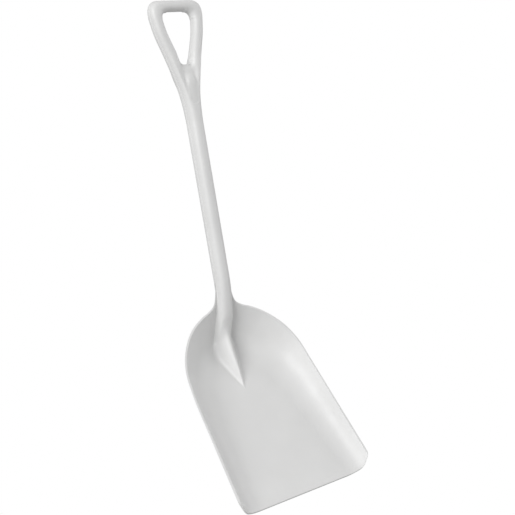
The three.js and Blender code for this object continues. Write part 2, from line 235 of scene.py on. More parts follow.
# Tongue: the web's front rises into the shaft's front, as a soft raised pad.
TONGUE_TOP = 118  # distance below z = 0
TONGUE_RISE = (122, 164)
TONGUE_TAPERING = (165, 215)
TONGUE_HALF_WIDTH = 15
TONGUE_TAPER = 5
TONGUE_SET_BACK = 3  # of its top end behind the web's face
TONGUE_PROUD = 2  # of the flat, before the flat is cut
TONGUE_SINK = 7  # its front has sunk this far where only the shaft is left
TONGUE_FULLNESS = 2.2  # exponent of its section, where 2 is an ellipse
TONGUE_SCALE = 14  # about its half width, which makes its distance one in millimetres
TONGUE_BLEND = 4

# Flat on the front of the tongue, where a maker would put a mark. It is left plain.
FLAT_Y = -20.4
FLAT_HALF_WIDTH = 7
FLAT_BOTTOM_Z = -205
FLAT_TOP_Z = -132
FLAT_EDGE_BLEND = 4

# ---- Fineness and tolerances ----

SCOOP_ROWS = 210  # cross sections from the top of the neck to the lip
SCOOP_COLUMNS = 64  # steps from the middle to the rim, inside and again outside
SCOOP_ROW_CROWDING = 0.15  # crowds the cross sections towards the neck
COLUMN_CROWDING = 1.5  # above 1, the steps are closer together at both ends
SMALL_ROUND_POINTS = 3
RIM_ROUND_POINTS = 5
LIP_ROUND_POINTS = 6
LIP_CLEARANCE = 1.5  # cross sections within this many rounds of the lip make room for it
NECK_SIDE_POINTS = 24
NECK_TIP_POINTS = 7
SHAFT_ROWS = 33
SHAFT_FRONT_POINTS = 25
SHAFT_BACK_POINTS = 28
SHAFT_BACK_START = 1.47  # radians round from the middle of the back to the ledge's round

LINE_SAMPLES = 500  # along an arm's middle line
PAST_BAR = 60  # the first of those past the level crossbar
PAST_CORNER = 200  # and the first where the arm runs straight on down

# Box of the grip's distance field. Its spacing is finer from front to back.
FIELD_LOW = (-72.0, -24.25, -262.0)
FIELD_HIGH = (72.0, 24.25, 30.0)
FIELD_SPACING = (1.0, 0.5, 1.0)
PLANE_MARGIN = 4  # the table of the grip's plane reaches this far past the field
FAR_OUTSIDE = 50.0  # a distance that is surely outside
REFINEMENTS = 2  # times that the surface's points are moved onto it
SLOPE_STEP = 0.05  # the field's slope is measured this far to each side of a point
LEAST_SLOPE_SQUARED = 0.05
LONGEST_MOVE = 0.4

LEAST_BLEND = 0.01  # keeps a blend of no width defined
TINY = 1e-6  # keeps a division by nothing defined
SAME_POINT = 1e-7  # metres: points closer than this are one
CUT_SAME_POINT = 1e-6  # metres: and where a solid was cut
ON_SURFACE = 0.00015  # metres: a face this near to the moulding's skin is part of it

# ---- Looks ----

BRIGHT_PLASTIC = (0.83, 0.83, 0.825, 1)
DIM_PLASTIC = (0.80, 0.80, 0.795, 1)
SPECK = (0.52, 0.51, 0.48, 1)
SCUFF = (0.66, 0.655, 0.635, 1)
POLYPROPYLENE_IOR = 1.49

# Stage, in metres. The floor reaches FLOOR_REACH each way, and the lights stand at a place
# counted from the middle of the shovel.
WHITE = (1, 1, 1, 1)
FLOOR_REACH = 40.0
FLOOR_DROP = 0.35  # below the shovel's lip
FLOOR_COLOUR = (0.45, 0.45, 0.45, 1)
FLOOR_ROUGHNESS = 0.9
SURROUNDING_LIGHT = 0.51
KEY_PLACE = (-5.0, -2.6, 2.05)
KEY_SIZE = 3.0
KEY_POWER = 190
FILL_PLACE = (5.4, -1.8, 1.8)
FILL_SIZE = 4.0
FILL_POWER = 76

# Camera, in metres. It looks along +Y, turned towards +X, tipped down and rolled.
CAMERA_PLACE = (-1.1432, -1.8185, -0.4202)
CAMERA_TURN = math.radians(34.473)
CAMERA_TIP = math.radians(3.858)
CAMERA_ROLL = math.radians(-9.585)
SENSOR_WIDTH = 36
FOCAL_LENGTH = 67.18

# ---- Small functions ----


def smoothstep(x, low, high):
    s = np.clip((x - low) / (high - low), 0, 1)
    return s * s * (3 - 2 * s)


def lerp(a, b, share):
    return a + (b - a) * share


def spline(points, u):
    """A centripetal Catmull-Rom curve through the points, at u from 0 to 1."""
    p = np.asarray(points, float)
    p = np.vstack([2 * p[0] - p[1], p, 2 * p[-1] - p[-2]])
    place = np.clip(u, 0, 1) * (len(p) - 3)
    i = np.minimum(place.astype(int), len(p) - 4)
    w = (place - i)[:, None]
    gap = np.sqrt(np.linalg.norm(np.diff(p, axis=0), axis=1))
    before, along, after = (gap[i + k][:, None] for k in range(3))
    a, b, c, d = (p[i + k] for k in range(4))
    out = ((b - a) / before - (c - a) / (before + along) + (c - b) / along) * along
    into = ((c - b) / along - (d - b) / (along + after) + (d - c) / after) * along
    bend = 3 * (c - b) - 2 * out - into
    twist = 2 * (b - c) + out + into
    return b + w * (out + w * (bend + w * twist))


def blend_up(a, b, width):
    """The larger of two values, with a rounded valley about `width` wide between them."""
    mix = np.maximum(width - np.abs(a - b), 0) / width
    return np.maximum(a, b) + mix * mix * width / 4


def smooth_least(a, b, width):
    """The smaller of two distances, blended over about `width`."""
    return -blend_up(-a, -b, width)


def rounded_corner(start, corner, end, count):
    """Points that round a corner, without its two ends."""
    s = (np.arange(count) + 1) / (count + 1)
    s = s.reshape((-1,) + (1,) * np.ndim(start))
    return (1 - s) ** 2 * start + 2 * s * (1 - s) * corner + s * s * end


# ---- Scoop: blade, neck and spine in one surface ----


def fillet_height(e, radius):
    """Height above the floor at a distance e outside the line where floor and wall meet."""
    reach = radius * math.tan(WALL_ANGLE / 2)
    inside = np.clip(e + reach, 0, radius * math.sin(WALL_ANGLE))
    rounded = radius - np.sqrt(radius * radius - inside * inside)
    return np.where(e >= reach * math.cos(WALL_ANGLE), e * WALL_SLOPE, rounded)


def lip_turn(x):
    """How far the lip's outline has turned back at half width x."""
    e = x - LIP_CORNER_START
    turning = np.clip(e + LIP_CORNER_ROUND, 0, None) ** 2 / (4 * LIP_CORNER_ROUND)
    return np.where(e >= LIP_CORNER_ROUND, e, turning)


def cross_lines(u):
    """Cross lines of the blade, from u = 0 at the top of the neck to 1 at the lip."""
    width, rim_t, rim_h = spline([s[:3] for s in RIM_STATIONS], u).T[:, :, None]
    middle = spline([(x, t, 0) for x, _, _, t in RIM_STATIONS], u)[:, 1:2]
    to_lip = smoothstep(-rim_t, *STRAIGHTENING)
    bowed = (1 - to_lip) * (rim_t - middle)
    span = np.hypot(width, 2 * bowed)
    edge = lerp(LEDGE_WIDTH, RIM_WIDTH, smoothstep(width, *RIM_WIDENING))
    above_lip = np.clip((rim_t + RADIUS_FADE) / RADIUS_FADE, 0, 1)
    radius = lerp(LIP_RADIUS, BOWL_RADIUS, above_lip ** RADIUS_FADE_POWER)
    radius = radius - NECK_RADIUS_LOSS * smoothstep(rim_t, *NECK_RADIUS_FADE)
    return SimpleNamespace(
        width=width, rim_t=rim_t, rim_h=rim_h, middle=middle, to_lip=to_lip, bowed=bowed,
        span=span, end=1 - edge / span, radius=radius, opened=smoothstep(width, *PAN_OPENING),
    )


def plan_t(line, a):
    """The t that the cross lines pass at a fraction a of their half width."""
    turned = lip_turn(a * line.width) / np.maximum(lip_turn(line.width), TINY)
    share = lerp(a * a, np.where(line.to_lip > 0, turned, 0), line.to_lip)
    return line.middle + (line.rim_t - line.middle) * share


def pan_height(line, a, end, floor):
    """Height of the floor, fillet and wall at a fraction a, where the wall ends at `end`."""
    def speed(f):
        return np.hypot(line.width, 2 * line.bowed * f)

    wall_distance = (end - a) / 6 * (speed(a) + 4 * speed((a + end) / 2) + speed(end))
    e = (line.rim_h - floor) / WALL_SLOPE - wall_distance
    pan = floor + fillet_height(e, line.radius - floor)
    return lerp(line.rim_h, pan, line.opened)


def front_depth(x, half):
    """How far the shaft's front half stands out from the parting line at half width x."""
    share = np.clip(x / half, 0, 1) ** FRONT_FULLNESS
    return (PARTING_Y - FRONT_Y) * (1 - share) ** (1 / FRONT_FULLNESS)


def back_depth(x, radius):
    """How far the shaft's round back stands out from the parting line at half width x."""
    return np.sqrt(np.maximum(radius * radius - x * x, 0)) * (1 - PARTING_Y / radius)


def crest_height(t):
    """Height of the front's middle line at t: a cubic between each two points."""
    at, height = np.array(CREST_LINE, float).T
    count = len(at)
    before = np.maximum(np.arange(count) - 1, 0)
    after = np.minimum(np.arange(count) + 1, count - 1)
    slope = (height[after] - height[before]) / (at[after] - at[before])
    i = np.clip(np.searchsorted(at, t, side="right") - 1, 0, count - 2)
    gap = at[i + 1] - at[i]
    v = (t - at[i]) / gap
    lean = gap * v * (1 - v) * (slope[i] * (1 - v) - slope[i + 1] * v)
    return lerp(height[i], height[i + 1], v * v * (3 - 2 * v)) + lean


def crest_drop(x, t):
    """Height of the shaft's or spine's front below its middle line, at half width x."""
    half = SHAFT_RADIUS - LEDGE_WIDTH
    side = SIDE_START * half
    shaft = PARTING_Y - FRONT_Y - front_depth(np.minimum(x, side), half)
    shaft = (shaft + SIDE_SLOPE * np.maximum(x - side, 0)) / math.cos(FLOOR_TILT)
    radius = lerp(SPINE_TIP_RADIUS, SPINE_CREST_RADIUS, smoothstep(t, 0, SPINE_JOG_T))
    ridge = SPINE_FLANK_SLOPE * (np.hypot(x, radius) - radius)
    jog = smoothstep(t, SPINE_JOG_T - SPINE_JOG_REACH, SPINE_JOG_T + SPINE_JOG_REACH)
    return lerp(ridge, shaft, jog)


def front_height(line, a):
    """Height of the inside: the pan, with the spine and the shaft's front standing on it."""
    t = plan_t(line, a)
    valley = lerp(TIP_VALLEY, JOG_VALLEY, np.clip(t / SPINE_JOG_T, 0, 1))
    width = valley * line.opened + LEAST_BLEND
    crest = crest_height(t) - crest_drop(a * line.width, t)
    return blend_up(pan_height(line, a, line.end, 0), crest, width)


def back_height(line, a):
    """Height of the outside: the pan's, and the shaft's round back above the bowl."""
    t = plan_t(line, a)
    pan = pan_height(line, a, 1, -FLOOR_THICKNESS)
    x = a * line.width
    depth = PARTING_Y - FRONT_Y + back_depth(np.minimum(x, SHAFT_RADIUS), SHAFT_RADIUS)
    depth = depth - BACK_SLOPE * np.maximum(x - SHAFT_RADIUS, 0)
    shaft = crest_height(t) - depth / math.cos(FLOOR_TILT)
    rounded = smooth_least(pan, shaft, BACK_VALLEY * line.opened + LEAST_BLEND)
    return np.where(t < SPINE_JOG_T, pan, rounded)


def across(count):
    """Fractions from 0 to 1, closer together at both ends."""
    v = np.linspace(0, 1, count + 1)
    first, last = (0.5 * (2 * w) ** COLUMN_CROWDING for w in (v, 1 - v))
    return np.where(v < 0.5, first, 1 - last)


def scoop_half(u, count):
    """One half of each cross section, from the middle of the front out over the rim's flat
    and back to the middle of the outside, as points (x, t, h)."""
    line = cross_lines(u)
    fractions = across(count)[None, :]

    def at(a, h):
        a = a + 0 * line.width
        return np.stack([a * line.width, plan_t(line, a), h + 0 * a], axis=-1)

    start = line.end - EDGE_IN * math.cos(WALL_ANGLE) / line.span
    front = fractions * start
    front = at(front, front_height(line, front))
    inner = at(line.end, line.rim_h)
    flat_in = at(line.end + EDGE_IN / line.span, line.rim_h)
    middle = at((line.end + 1) / 2, line.rim_h)
    flat_out = at(1 - EDGE_OUT / line.span, line.rim_h)
    outer = at(1.0, line.rim_h)
    finish = 1 - EDGE_OUT * math.cos(WALL_ANGLE) / line.span
    back = fractions * finish
    back = at(back, back_height(line, back))
    rows = [front]
    rows += list(rounded_corner(front[:, -1:], inner, flat_in, SMALL_ROUND_POINTS))
    rows += [flat_in, middle, flat_out]
    rows += list(rounded_corner(flat_out, outer, back[:, -1:], RIM_ROUND_POINTS))
    rows += [back[:, ::-1]]
    return np.concatenate(rows, axis=1)


def full_rings(half):
    """Mirrors each half section and joins it into a closed ring."""
    left = half[:, -2:0:-1] * (-1, 1, 1)
    return np.concatenate([half, left], axis=1)


def scoop_rings(row_count, column_count):
    """The cross sections as closed rings, ending in the lip's own rounded edge."""
    v = np.linspace(0, 1, row_count + 1)
    u = lerp(v, np.sqrt(v), -SCOOP_ROW_CROWDING)
    rings = full_rings(scoop_half(u, column_count))
    last = rings[-1]
    out = last - rings[-2]
    out /= np.linalg.norm(out, axis=-1, keepdims=True)
    partner = last[across_ring(len(last))]
    across_lip = partner - last
    thickness = np.linalg.norm(across_lip, axis=-1, keepdims=True)
    inward = across_lip / np.maximum(thickness, TINY)
    depth = np.minimum(LIP_ROUND, thickness * LIP_ROUND_SHARE)
    turns = np.radians(np.linspace(0, 90, LIP_ROUND_POINTS))
    rounded = [last + out * (LIP_ROUND * (math.sin(q) - 1)) + inward * depth * (1 - math.cos(q))
               for q in turns]
    keep = np.linalg.norm(rings[:, 0] - last[0], axis=-1) > LIP_ROUND * LIP_CLEARANCE
    return np.concatenate([rings[keep], rounded], axis=0)


def across_ring(count):
    """For each point of a mirrored ring, the one facing it on the other side of the wall."""
    k = np.arange(count)
    right = count // 2 - k
    left = count + count // 2 - k
    return np.where(k <= count // 2, right, left % count)


def ring_faces(rows, count):
    """Quads between rings, and the strips that close both ends of a loft whose rings run
    out along one side and back along the other."""
    i, k = np.meshgrid(np.arange(rows - 1), np.arange(count), indexing="ij")
    following = (k + 1) % count
    quads = np.stack([i * count + k, i * count + following,
                      (i + 1) * count + following, (i + 1) * count + k], axis=-1).reshape(-1, 4)
    last = (rows - 1) * count
    facing = across_ring(count)
    caps = []
    for first in range(count // 4):
        strip = [first, first + 1, int(facing[first + 1]), int(facing[first])]
        for corners in (strip, [(count - v) % count for v in strip]):
            corners = list(dict.fromkeys(corners))
            caps += [corners, [last + v for v in corners]] if len(corners) > 2 else []
    return quads.tolist() + caps


def blade_to_shovel(points):
    """Points (x, t, h) of the blade's frame in the shovel's."""
    x, t, h = np.moveaxis(points, -1, 0)
    y = SPINE_TIP_Y + t * math.sin(FLOOR_TILT) - h * math.cos(FLOOR_TILT)
    z = SPINE_TIP_Z + t * math.cos(FLOOR_TILT) + h * math.sin(FLOOR_TILT)
    return np.stack([x, y, z], axis=-1)


# ---- Meshes ----


def new_object(name, points, faces):
    """An object with outward faces from points in millimetres."""
    mesh = bpy.data.meshes.new(name)
    mesh.from_pydata((np.asarray(points) * MM).tolist(), [], faces)
    bm = bmesh.new()
    bm.from_mesh(mesh)
    bmesh.ops.remove_doubles(bm, verts=bm.verts, dist=SAME_POINT)
    bmesh.ops.dissolve_degenerate(bm, edges=bm.edges, dist=SAME_POINT)
    bmesh.ops.recalc_face_normals(bm, faces=bm.faces)
    bm.to_mesh(mesh)
    bm.free()
    mesh.polygons.foreach_set("use_smooth", [True] * len(mesh.polygons))
    piece = bpy.data.objects.new(name, mesh)
    bpy.context.scene.collection.objects.link(piece)
    return piece


def cut_by_planes(source, name, planes):
    """A copy of the source that keeps what lies behind each plane (point, normal), with flat
    caps on the cuts."""
    bm = bmesh.new()
    bm.from_mesh(source.data)
    for point, normal in planes:
        geometry = bm.verts[:] + bm.edges[:] + bm.faces[:]
        cut = bmesh.ops.bisect_plane(bm, geom=geometry, plane_co=Vector(point) * MM,
                                     plane_no=Vector(normal), clear_outer=True, dist=SAME_POINT)
        edges = [e for e in cut["geom_cut"] if isinstance(e, bmesh.types.BMEdge)]
        bmesh.ops.holes_fill(bm, edges=edges, sides=0)
    mesh = bpy.data.meshes.new(name)
    bm.to_mesh(mesh)
    bm.free()
    piece = bpy.data.objects.new(name, mesh)
    bpy.context.scene.collection.objects.link(piece)
    return piece


def cut_by_solid(source, name, cutter, operation):
    """A copy of the source with the cutter taken out of it, or kept inside the cutter."""
    piece = bpy.data.objects.new(name, source.data.copy())
    bpy.context.scene.collection.objects.link(piece)
    cut = piece.modifiers.new("cut", "BOOLEAN")
    cut.object = cutter
    cut.operation = operation
    cut.solver = "EXACT"
    apply_modifiers(piece)
    drop_flaps(piece)
    return piece


def drop_flaps(piece):
    """Cuts every face into triangles, and takes out the pairs that a cut leaves lying flat on
    each other where it grazes the surface."""
    bm = bmesh.new()
    bm.from_mesh(piece.data)
    bmesh.ops.remove_doubles(bm, verts=bm.verts, dist=CUT_SAME_POINT)
    bmesh.ops.dissolve_degenerate(bm, edges=bm.edges, dist=CUT_SAME_POINT)
    bmesh.ops.triangulate(bm, faces=bm.faces)
    alike = {}
    for face in bm.faces:
        alike.setdefault(frozenset(face.verts), []).append(face)
    flaps = [face for faces in alike.values() if len(faces) > 1 for face in faces]
    bmesh.ops.delete(bm, geom=flaps, context="FACES")
    bm.to_mesh(piece.data)
    bm.free()


def apply_modifiers(piece):
    """Makes what the piece's modifiers give its own mesh."""
    bpy.context.view_layer.update()
    graph = bpy.context.evaluated_depsgraph_get()
    mesh = bpy.data.meshes.new_from_object(piece.evaluated_get(graph))
    piece.modifiers.clear()
    piece.data = mesh


def discard(*objects):
    for gone in objects:
        bpy.data.objects.remove(gone)


def carry_normals(source, *made):
    """Gives each piece the source surface's own smooth normals, so that the seams between
    regions of one moulding don't show, and leaves the cut faces flat."""
    mesh = source.data
    mesh.calc_loop_triangles()
    triangles = [tuple(t.vertices) for t in mesh.loop_triangles]
    points = [v.co.copy() for v in mesh.vertices]
    normals = [v.normal.copy() for v in mesh.vertices]
    tree = BVHTree.FromPolygons(points, triangles)
    for piece in made:
        found = []
        for vertex in piece.data.vertices:
            place, _, index, _ = tree.find_nearest(vertex.co)
            corners = triangles[index]
            weights = poly_3d_calc([points[i] for i in corners], place)
            normal = sum((normals[i] * w for i, w in zip(corners, weights)), Vector())
            found.append(normal.normalized())
        loops = []
        for polygon in piece.data.polygons:
            distance = tree.find_nearest(polygon.center)[3]
            mean = sum((found[i] for i in polygon.vertices), Vector())
            on_surface = distance < ON_SURFACE and mean.dot(polygon.normal) > 0
            polygon.use_smooth = on_surface
            loops += [found[i] if on_surface else polygon.normal for i in polygon.vertices]
        piece.data.normals_split_custom_set([tuple(n) for n in loops])


def neck_prism():
    """A long spade shape in the blade's plan, extruded through the blade: as wide as the neck
    at the top, then as wide as the spine's foot, and blunt at the spine's tip."""
    s = np.linspace(0, 1, NECK_SIDE_POINTS)[:, None]
    start, pull = np.array([(NECK_HALF_WIDTH, NECK_SHOULDER_T), NECK_PULL], float)
    tip = np.array([NECK_TIP_RADIUS, NECK_TIP_T + 1], float)
    flank = (1 - s) ** 2 * start + 2 * s * (1 - s) * pull + s * s * tip
    turn = np.radians(np.linspace(0, 90, NECK_TIP_POINTS)[1:])
    nose = np.stack([NECK_TIP_RADIUS * np.cos(turn),
                     NECK_TIP_T - NECK_TIP_RADIUS * np.sin(turn)], axis=-1)
    right = np.concatenate([[[NECK_HALF_WIDTH, NECK_TOP_T]], flank, nose])
    outline = np.concatenate([right, right[-2::-1] * (-1, 1)])
    count = len(outline)
    low, high = (np.insert(outline, 2, float(height), axis=1) for height in NECK_CUT_HEIGHTS)
    sides = [[k, (k + 1) % count, count + (k + 1) % count, count + k] for k in range(count)]
    faces = [list(range(count))[::-1], list(range(count, 2 * count)), *sides]
    points = blade_to_shovel(np.concatenate([low, high]))
    return new_object("neck_prism", points, faces)


def make_scoop():
    """The blade, and the neck with its spine, cut out of one surface."""
    rings = scoop_rings(SCOOP_ROWS, SCOOP_COLUMNS)
    faces = ring_faces(*rings.shape[:2])
    scoop = new_object("scoop", blade_to_shovel(rings.reshape(-1, 3)), faces)
    prism = neck_prism()
    blade = cut_by_solid(scoop, "blade_shell", prism, "DIFFERENCE")
    root = cut_by_solid(scoop, "root", prism, "INTERSECT")
    neck = cut_by_planes(root, "neck_and_spine", [((0, 0, JOINT_Z), (0, 0, 1))])
    carry_normals(scoop, blade, neck)
    discard(scoop, prism, root)
    return blade, neck


# ---- Shaft ----


def shaft_ring(z, scale):
    """The shaft's section: full front half, parting ledge, round back half."""
    half = SHAFT_RADIUS - LEDGE_WIDTH
    front_end = half - EDGE_IN * math.cos(WALL_ANGLE)
    x = half * np.sin(np.linspace(0, math.pi / 2, SHAFT_FRONT_POINTS))
    x = np.append(x[x < front_end], front_end)
    front = np.stack([x, PARTING_Y - front_depth(x, half)], axis=-1)
    x = SHAFT_RADIUS * np.sin(np.linspace(SHAFT_BACK_START, 0, SHAFT_BACK_POINTS))
    back = np.stack([x, PARTING_Y + back_depth(x, SHAFT_RADIUS)], axis=-1)
    inner, ledge_in, ledge_out, outer = (
        np.array([x, PARTING_Y])
        for x in (half, half + EDGE_IN, SHAFT_RADIUS - SHAFT_EDGE_OUT, SHAFT_RADIUS))
    side = np.concatenate([
        front,
        rounded_corner(front[-1], inner, ledge_in, SMALL_ROUND_POINTS),
        [ledge_in, ledge_out],
        rounded_corner(ledge_out, outer, back[0], SMALL_ROUND_POINTS),
        back,
    ]) * scale
    ring = np.concatenate([side, side[-2:0:-1] * (-1, 1)])
    return np.insert(ring, 2, z, axis=1)


def make_shaft():
    """The round shaft, a little thicker towards the yoke."""
    shares = np.linspace(0, 1, SHAFT_ROWS)
    rings = [shaft_ring(lerp(JOINT_Z, YOKE_BOTTOM_Z, s), lerp(1, SHAFT_TOP_SCALE, s))
             for s in shares]
    rings = np.array(rings)
    rows, count = rings.shape[:2]
    quads = ring_faces(rows, count)[:(rows - 1) * count]
    ends = [list(range(count))[::-1], list(range((rows - 1) * count, rows * count))]
    whole = new_object("shaft_tube", rings.reshape(-1, 3), quads)
    shaft = new_object("round_shaft", rings.reshape(-1, 3), quads + ends)
    carry_normals(whole, shaft)
    discard(whole)
    return shaft


# ---- Grip and yoke: one surface from a distance field ----

# The arm's middle line in the grip's plane, and how far along it each sample lies.
line_points = spline(ARM_LINE, np.linspace(0, 1, LINE_SAMPLES))
line_xz = line_points[:, [0, 2]]
line_steps = np.linalg.norm(np.diff(line_xz, axis=0), axis=1)
line_length = np.concatenate([[0], np.cumsum(line_steps)])
line_tangent = np.gradient(line_xz, line_length, axis=0)
line_tangent /= np.linalg.norm(line_tangent, axis=1, keepdims=True)
line_normal = np.stack([-line_tangent[:, 1], line_tangent[:, 0]], axis=-1)

plane_low = np.array(FIELD_LOW)[[0, 2]] - PLANE_MARGIN
plane_high = np.array(FIELD_HIGH)[[0, 2]] + PLANE_MARGIN


def line_table():
    """The grip's plane in a 1 mm grid: for each point, how far along the arm's middle line its
    nearest point lies, and how far it lies outside the line."""
    x, z = np.meshgrid(*(np.arange(a, b + 1) for a, b in zip(plane_low, plane_high)),
                       indexing="ij")
    place = np.stack([x, z], axis=-1)
    gaps = (x[..., None] - line_xz[:, 0]) ** 2 + (z[..., None] - line_xz[:, 1]) ** 2
    nearest = gaps.argmin(axis=-1)
    step = place - line_xz[nearest]
    length = line_length[nearest] + (step * line_tangent[nearest]).sum(axis=-1)
    outside = (step * line_normal[nearest]).sum(axis=-1)
    return np.stack([length, outside], axis=-1)


plane = line_table()


def beside_line(x, z):
    """Distance along the arm's middle line, and outside it, at any point of the plane."""
    across, up = x - plane_low[0], z - plane_low[1]
    i = np.clip(across.astype(int), 0, plane.shape[0] - 2)
    k = np.clip(up.astype(int), 0, plane.shape[1] - 2)
    v, w = (across - i)[..., None], (up - k)[..., None]
    low = lerp(plane[i, k], plane[i + 1, k], v)
    high = lerp(plane[i, k + 1], plane[i + 1, k + 1], v)
    return np.moveaxis(lerp(low, high, w), -1, 0)


# Along the line: the tube's half width, its depths in front and behind, its ledge, and how far
# its front ridge is shifted outwards.
line_x, line_z = line_xz.T
into_shaft = smoothstep(-line_z, *INTO_SHAFT)
bar_share = np.where(line_z > CORNER_BOTTOM_Z, 1 - smoothstep(line_x, *BAR_TO_ARM), 0)
in_fork = smoothstep(-line_z, *RIDGE_PARTS) * (1 - smoothstep(-line_z, *RIDGE_CLOSES))
corner_distance = np.hypot(line_x - CORNER_CENTRE[0], line_z - CORNER_CENTRE[1])
corner_swell = CORNER_SWELL * np.exp(-(corner_distance / CORNER_REACH) ** 2)
tube_half = lerp(ARM_WIDTH, BAR_HEIGHT, bar_share) / 2
tube_half = lerp(tube_half, SHAFT_RADIUS * SHAFT_TOP_SCALE, into_shaft) + corner_swell
tube_depth = lerp(ARM_DEPTH, BAR_DEPTH, bar_share) / 2
tube_front = lerp(tube_depth, (PARTING_Y - FRONT_Y) * SHAFT_TOP_SCALE, into_shaft)
tube_front = tube_front - RIDGE_SET_BACK * in_fork
tube_back = lerp(tube_depth, (SHAFT_RADIUS - PARTING_Y) * SHAFT_TOP_SCALE, into_shaft)
tube_ledge = LEDGE_WIDTH * lerp(1, SHAFT_TOP_SCALE, into_shaft)
tube_ledge = tube_ledge * (1 - BAR_LEDGE_LOSS * bar_share)
tube_shift = RIDGE_SHIFT * in_fork


def grip_lean(z):
    """How far behind the shaft's middle plane the grip's middle plane lies at height z."""
    _, lean, height = line_points[PAST_BAR:].T
    order = np.argsort(height)
    return np.interp(z, height[order], lean[order])


def tube_distance(x, y, z):
    """Distance outside one arm's tube, about in millimetres. y counts from the parting."""
    length, q = beside_line(x, z)
    half, front, back, ledge, into, shift = (
        np.interp(length, line_length, values) for values in
        (tube_half, tube_front, tube_back, tube_ledge, into_shaft, tube_shift))
    front_half = half - ledge * (1 + into) / 2 - shift
    share = np.abs(q + ledge * (1 - into) / 2 - shift) / front_half
    power = FRONT_FULLNESS
    full = (share ** power + (np.abs(y) / front) ** power) ** (1 / power)
    front_body = (np.where(y < 0, full, np.hypot(share, y / back)) - 1) * front_half
    back_body = blend_up((np.hypot(q / half, y / back) - 1) * half, -y, LEDGE_BLEND)
    return smooth_least(front_body, back_body, LEDGE_BLEND)


def grip_distance(x, y, z):
    """Distance outside the grip and yoke, in their own upright frame."""
    x = np.abs(x)
    down = -z
    merged = 1 - smoothstep(down, *MERGING)  # 0 where only the round shaft is left
    fork = smoothstep(down, *FORKING)  # 0 beside the opening, 1 in the fork
    body = both_arms(x, y, z)
    body = smooth_least(body, web_distance(x, y, z), WEB_BLEND * merged * fork + LEAST_BLEND)
    fillet_blend = OPENING_TOP_BLEND * (1 - fork) + LEAST_BLEND
    body = smooth_least(body, fillet_distance(x, y, z), fillet_blend)
    tongue = tongue_distance(x, y, z, merged)
    body = smooth_least(body, tongue, TONGUE_BLEND * merged + LEAST_BLEND)
    return blend_up(body, -flat_distance(x, y, z), FLAT_EDGE_BLEND)


def both_arms(x, y, z):
    """The two arms' tubes, with the crease between them rounded in the fork."""
    down = -z
    near = tube_distance(x, y, z)
    far = np.where(down > OTHER_ARM_FROM, tube_distance(-x, y, z), FAR_OUTSIDE)
    crotch = smoothstep(down, *CROTCH_STARTS) * (1 - smoothstep(down, *CROTCH_ENDS))
    return smooth_least(near, far, CROTCH_BLEND * crotch + LEAST_BLEND)


def web_distance(x, y, z):
    """The web between the arms, with the round edge of the opening's bottom above it."""
    down = -z
    rise = z - OPENING_BOTTOM_Z - OPENING_BOTTOM_RADIUS
    slot = OPENING_BOTTOM_RADIUS + OPENING_EDGE_EXTRA + OPENING_FLARE * np.maximum(rise, 0)
    into_opening = slot - np.hypot(x, np.minimum(rise, 0))
    web = blend_up(np.abs(y) - WEB_DEPTH, into_opening, OPENING_EDGE_BLEND)
    arm_x = np.interp(down, -line_z[PAST_CORNER:], line_x[PAST_CORNER:])
    ends = np.maximum(FORKING[0] - down, down - WEB_BOTTOM)
    return np.maximum(web, np.maximum(x - arm_x - WEB_INTO_ARM, ends))


def fillet_distance(x, y, z):
    """The fillet in the opening's top corner."""
    beside, above = x - OPENING_TOP_CENTRE[0], z - OPENING_TOP_CENTRE[1]
    into_corner = OPENING_TOP_RADIUS - np.hypot(beside, above)
    depth = np.abs(y - OPENING_TOP_Y) - OPENING_TOP_DEPTH
    fillet = blend_up(depth, into_corner, OPENING_EDGE_BLEND)
    reach = np.maximum(beside - OPENING_TOP_REACH, above - OPENING_TOP_REACH)
    return np.maximum(fillet, np.maximum(-np.minimum(beside, above), reach))


def tongue_distance(x, y, z, merged):
    """The raised pad that runs from the web down onto the shaft's front."""
    down = -z
    depth = lerp(WEB_DEPTH - TONGUE_SET_BACK, TONGUE_PROUD - FLAT_Y,
                 smoothstep(down, *TONGUE_RISE))
    depth = depth - TONGUE_SINK * (1 - merged)
    wide = TONGUE_HALF_WIDTH - TONGUE_TAPER * smoothstep(down, *TONGUE_TAPERING)
    power = TONGUE_FULLNESS
    full = ((x / wide) ** power + (np.abs(y) / depth) ** power) ** (1 / power)
    tongue = np.maximum((full - 1) * TONGUE_SCALE, y)
    return np.maximum(tongue, np.maximum(TONGUE_TOP - down, down - WEB_BOTTOM))


def flat_distance(x, y, z):
    """What the plain flat takes off: a round-ended slot in front of its plane."""
    end = np.maximum(z - FLAT_TOP_Z, FLAT_BOTTOM_Z - z) + FLAT_HALF_WIDTH
    flat = np.hypot(x, np.maximum(end, 0)) - FLAT_HALF_WIDTH
    return np.maximum(flat, y - FLAT_Y)


def field_surface(distance, low, high, spacing):
    """Points and quads of the surface where the distance is zero, inside a box. The points are
    then moved down the distance's slope, onto the surface itself."""
    axes = [np.arange(a, b + gap / 2, gap) for a, b, gap in zip(low, high, spacing)]
    values = distance(*np.meshgrid(*axes, indexing="ij", sparse=True))
    field = openvdb.FloatGrid(background=FAR_OUTSIDE)
    field.copyFromArray(values.astype(np.float32))
    points, quads = field.convertToQuads(isovalue=0.0)
    points = np.asarray(points, float) * spacing + low
    for _ in range(REFINEMENTS):
        slope = np.stack([distance(*(points + d).T) - distance(*(points - d).T)
                          for d in np.eye(3) * SLOPE_STEP], axis=-1) / (2 * SLOPE_STEP)
        squared = np.maximum((slope ** 2).sum(axis=-1, keepdims=True), LEAST_SLOPE_SQUARED)
        move = distance(*points.T)[:, None] * slope / squared
        length = np.maximum(np.linalg.norm(move, axis=-1, keepdims=True), TINY)
        points -= move * np.minimum(1, LONGEST_MOVE / length)
    return points, quads


